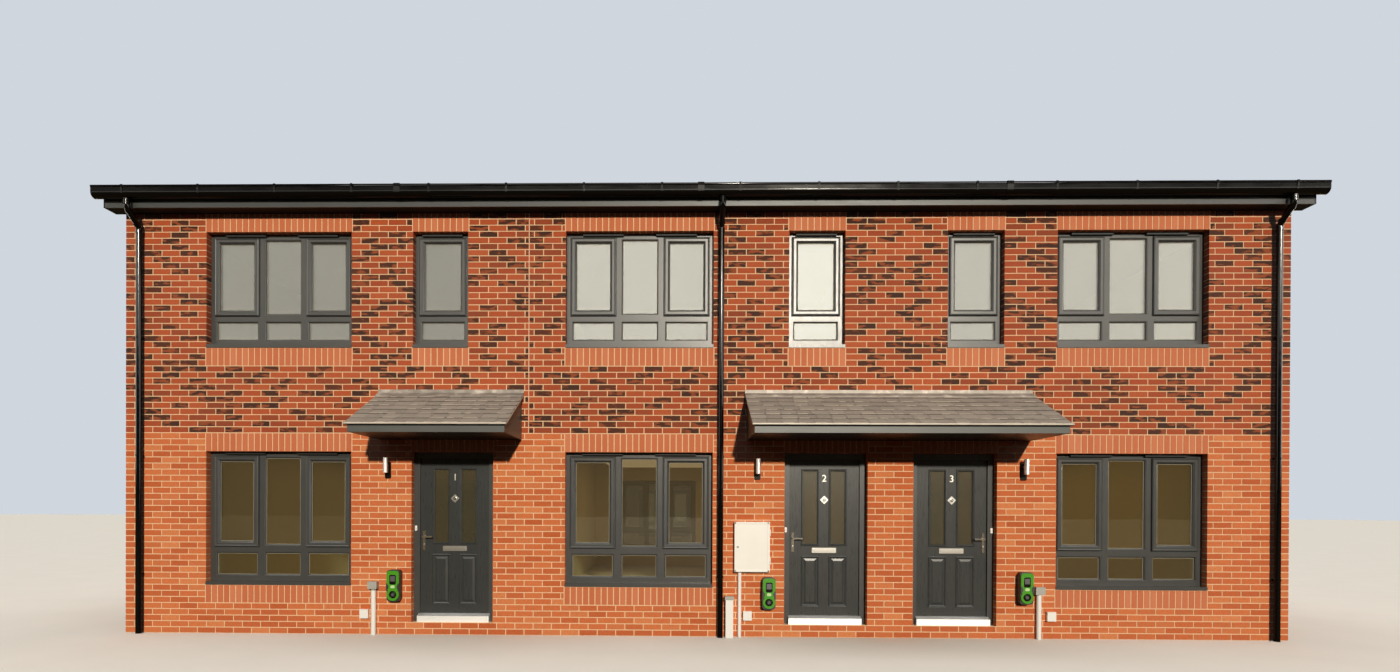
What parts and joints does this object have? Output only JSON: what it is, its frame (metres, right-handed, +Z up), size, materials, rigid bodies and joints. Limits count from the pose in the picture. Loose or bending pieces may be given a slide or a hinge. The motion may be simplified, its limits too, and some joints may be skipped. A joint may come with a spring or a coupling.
{
  "type": "terraced house row",
  "caption": "Two-storey terraced brick row with plain gable ends, grey windows, hinged front doors under slate canopies, and rooms open inside.",
  "frame": {"origin": "centre of the footprint, on the level of the lowest ground that the walls meet", "axes": "+X along the front from left to right seen from the street, -Y out of the front, +Z up"},
  "size_m": [14.555, 9.79, 7.2669],
  "materials": {
    "plain_brick": "matt red facing brick in buff mortar",
    "mixed_brick": "red facing brick with dark bricks at random",
    "plaster": "painted plaster",
    "concrete": "floated concrete",
    "floorboard": "particle board",
    "slate": "grey slate tiles",
    "lead": "weathered lead sheet",
    "grey_upvc": "satin foil",
    "black_upvc": "gloss extrusion",
    "anthracite_upvc": "woodgrain foil",
    "door_skin": "moulded composite skin",
    "window_glass": "clear double glazing",
    "aluminium": "mill finish",
    "chrome": "polished",
    "steel": "brushed",
    "black_plastic": "moulded",
    "green_plastic": "moulded",
    "white_plastic": "moulded glass fibre"
  },
  "bodies": {
    "house_row": {"plinth": "plain_brick", "front_wall_ground": "plain_brick", "front_wall_upper": "mixed_brick", "left_gable_wall": "mixed_brick", "right_gable_wall": "mixed_brick", "back_wall": "mixed_brick", "party_walls": "plaster", "ground_floors": "concrete", "first_floors": "floorboard", "top_ceilings": "plaster", "front_roof_slope": "slate", "back_roof_slope": "slate", "ridge_tiles": "slate", "fascias": "grey_upvc", "bargeboards": "black_upvc", "soffits": "black_upvc", "gutters": "black_upvc", "downpipes": "black_upvc", "canopy_frames": "grey_upvc", "canopy_roofs": "slate", "canopy_flashings": "lead", "front_window_frames": "anthracite_upvc", "front_sashes": "anthracite_upvc", "front_glass": "window_glass", "back_window_frames": "anthracite_upvc", "back_doors": "door_skin", "back_glass": "window_glass", "door_frames": "anthracite_upvc", "thresholds": "aluminium", "bell_pushes": "white_plastic", "wall_lights": "steel", "car_chargers": "black_plastic", "charger_faces": "green_plastic", "meter_box": "white_plastic", "service_risers": "white_plastic"},
    "door_1": {"door_1_leaf": "door_skin", "door_1_glass": "window_glass", "door_1_fittings": "chrome"},
    "lever_1": {"door_1_lever": "chrome"},
    "door_2": {"door_2_leaf": "door_skin", "door_2_glass": "window_glass", "door_2_fittings": "chrome"},
    "lever_2": {"door_2_lever": "chrome"},
    "door_3": {"door_3_leaf": "door_skin", "door_3_glass": "window_glass", "door_3_fittings": "chrome"},
    "lever_3": {"door_3_lever": "chrome"},
    "meter_lid": {"meter_door": "white_plastic"}
  },
  "joints": [
    {"name": "door_1_hinge", "type": "hinge", "parent": "house_row", "child": "door_1", "pos_m": [-2.5865, -4.107, 1.2], "axis": [0, 0, -1], "range_deg": [0, 90]},
    {"name": "door_1_lever_turn", "type": "hinge", "parent": "door_1", "child": "lever_1", "pos_m": [-3.414, -4.138, 1.2], "axis": [0, 1, 0], "range_deg": [0, 40], "stiffness_Nm_per_rad": 2, "springref_deg": -20.05},
    {"name": "door_2_hinge", "type": "hinge", "parent": "house_row", "child": "door_2", "pos_m": [1.9865, -4.107, 1.2], "axis": [0, 0, -1], "range_deg": [0, 90]},
    {"name": "door_2_lever_turn", "type": "hinge", "parent": "door_2", "child": "lever_2", "pos_m": [1.159, -4.138, 1.2], "axis": [0, 1, 0], "range_deg": [0, 40], "stiffness_Nm_per_rad": 2, "springref_deg": -20.05},
    {"name": "door_3_hinge", "type": "hinge", "parent": "house_row", "child": "door_3", "pos_m": [2.6605, -4.107, 1.2], "axis": [0, 0, 1], "range_deg": [0, 90]},
    {"name": "door_3_lever_turn", "type": "hinge", "parent": "door_3", "child": "lever_3", "pos_m": [3.488, -4.138, 1.2], "axis": [0, -1, 0], "range_deg": [0, 40], "stiffness_Nm_per_rad": 2, "springref_deg": -20.05},
    {"name": "meter_door_hinge", "type": "hinge", "parent": "house_row", "child": "meter_lid", "pos_m": [0.861, -4.353, 1.1], "axis": [0, 0, 1], "range_deg": [0, 100]}
  ]
}
